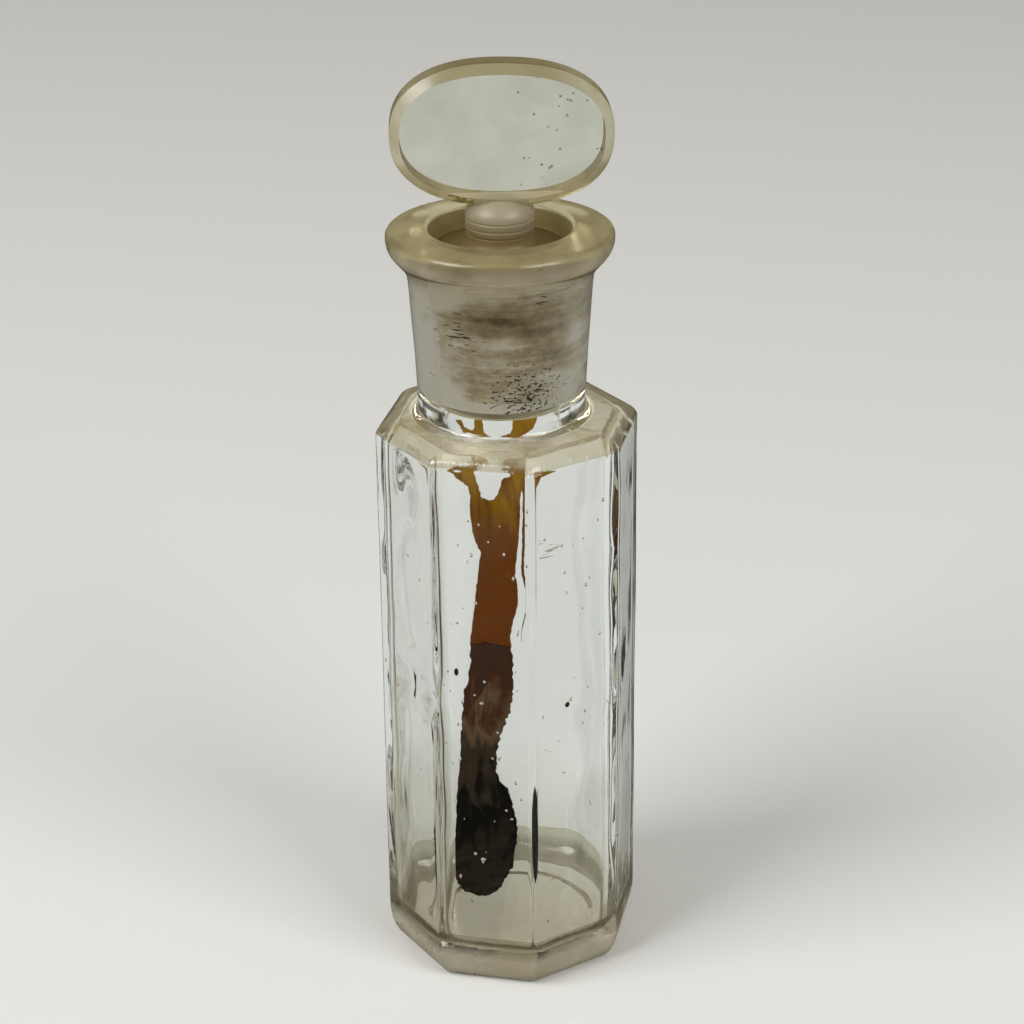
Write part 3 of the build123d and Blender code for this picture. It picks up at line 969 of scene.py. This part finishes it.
def stopper_finish(face):
    spot = face.center / MM
    # The same place on the finial as it was before it was set on the stem
    on_oval = finial_placing.inverted() @ face.center / MM
    behind_face = abs(on_oval.y) < OVAL_DEPTH / 2 - 0.005
    if -6.9 < on_oval.z < -5.75 and abs(on_oval.x) < 2.6 and behind_face:
        # The rim's underside, where it meets the stem
        return frosted
    if on_oval.z > -6.8 and spot.z > 77.9 and abs(on_oval.y) < OVAL_DEPTH / 2 - 0.11:
        # The rim and bevels of the finial, which are duller than its faces
        return worn
    if spot.z > 78.0 and behind_face:
        # The fine edge of each face takes the pale ground finish above, as a painted highlight, and holds
        # dirt below
        return ground if on_oval.z > -2 else soil
    if spot.z > 78.0:
        return frosted if on_oval.z < -4.5 else polished
    if JOINT_FOOT < spot.z < PLUG_SHOULDER and off_axis(spot) > 4:
        return ground
    return frosted if spot.z > 73.5 else moulded


for piece, finishes, finish_of in (
    (glass, (moulded, ground, worn, satin, seed_shade_paint), bottle_finish),
    (stopper, (moulded, ground, worn, polished, frosted, soil), stopper_finish),
):
    for finish in finishes:
        piece.data.materials.append(finish)
    for face in piece.data.polygons:
        face.material_index = finishes.index(finish_of(face))
film.data.materials.append(perfume_film())
crust.data.materials.append(perfume_crust())

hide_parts("bottle")
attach(glass, "bottle_body")
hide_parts("stopper")
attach(stopper, "stopper_body")
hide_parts("residue_film")
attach(film, "bottle_body")
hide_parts("residue_crust")
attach(crust, "bottle_body")


# Floor: pale paper. What the glass shows of it is dim just in front of the bottle, where the photo's
# ground is dark, so that the dried perfume stays dark too
def backdrop_paper():
    made, tree, shader = new_material("backdrop_paper")
    connect(tree, shader, {"Base Color": colour("#D4D4D2"), "Roughness": 0.9})
    rays = node(tree, "ShaderNodeLightPath")
    place = node(tree, "ShaderNodeTexCoord").outputs["Object"]
    facing = {"Vector": place, "Rotation": (0, 0, -TURN)}
    spread = node(tree, "ShaderNodeMapping", facing, vector_type="TEXTURE")
    behind = node(tree, "ShaderNodeSeparateXYZ", {"Vector": spread}).outputs["Y"]
    # Painted shadow: seen through the glass, the paper is darker round the bottle and paler farther back
    back_span = {"From Min": 0.0, "From Max": 36 * MM}
    painted_shadow_fade = node(tree, "ShaderNodeMapRange", {"Value": behind, **back_span})
    tones = {"Factor": painted_shadow_fade, "A": colour("#A8A492"), "B": colour("#E1E5E3")}
    tone = node(tree, "ShaderNodeMix", tones, data_type="RGBA")
    past_front = {"From Min": -20 * MM, "From Max": -13 * MM}
    front = node(tree, "ShaderNodeMapRange", {"Value": behind, **past_front})
    far_span = {"From Min": -110 * MM, "From Max": -150 * MM}
    far_front = node(tree, "ShaderNodeMapRange", {"Value": behind, **far_span})
    lit = node(tree, "ShaderNodeMath", {0: front, 1: far_front}, operation="MAXIMUM")
    tones = {"Factor": lit, "A": colour("#3C3B36"), "B": tone}
    shaded = node(tree, "ShaderNodeMix", tones, data_type="RGBA")
    pale = node(tree, "ShaderNodeEmission", {"Color": shaded, "Strength": 1.0})
    # Painted reflection: in what the glass mirrors, the paper is dim
    dim = node(tree, "ShaderNodeEmission", {"Color": colour("#3C3B36"), "Strength": 1.0})
    mirrored = node(tree, "ShaderNodeMixShader", {0: rays.outputs["Is Glossy Ray"], 1: shader, 2: dim})
    all_rays = {0: rays.outputs["Is Transmission Ray"], 1: mirrored, 2: pale}
    connect(tree, tree.nodes["Material Output"], {"Surface": node(tree, "ShaderNodeMixShader", all_rays)})
    return made


clear()
bpy.ops.mesh.primitive_plane_add(size=3, location=(0, 0, 0))
floor = bpy.context.object
floor.name = "floor"
floor.data.materials.append(backdrop_paper())

# The room, warmer and yellower in what the glass mirrors and lets through
world = bpy.data.worlds.new("studio")
bpy.context.scene.world = world
world.use_nodes = True
tree = world.node_tree
plain = tree.nodes["Background"]
connect(tree, plain, {"Color": colour("#A8A6A0")})
rays = node(tree, "ShaderNodeLightPath")
by_glass = {0: rays.outputs["Is Glossy Ray"], 1: rays.outputs["Is Transmission Ray"]}
seen = node(tree, "ShaderNodeMath", by_glass, operation="MAXIMUM")
room = node(tree, "ShaderNodeBackground", {"Color": colour("#A89E7E"), "Strength": 1.0})
both = node(tree, "ShaderNodeMixShader", {0: seen, 1: plain, 2: room})
connect(tree, tree.nodes["World Output"], {"Surface": both})


def lamp(name, place, size, power):
    # A soft square light, aimed at the middle of the bottle
    data = bpy.data.lights.new(name, "AREA")
    data.shape = "RECTANGLE"
    data.size, data.size_y = size, size
    data.energy = power
    made = bpy.data.objects.new(name, data)
    bpy.context.scene.collection.objects.link(made)
    aim = (45 * UP - Vector(place)).to_track_quat("-Z", "Y").to_matrix().to_4x4()
    made.matrix_world = Matrix.Translation(Vector(place) * MM) @ aim


lamp("window_left", (-450, -450, 600), 0.5, 6)
lamp("fill_right", (520, -320, 480), 0.4, 3)
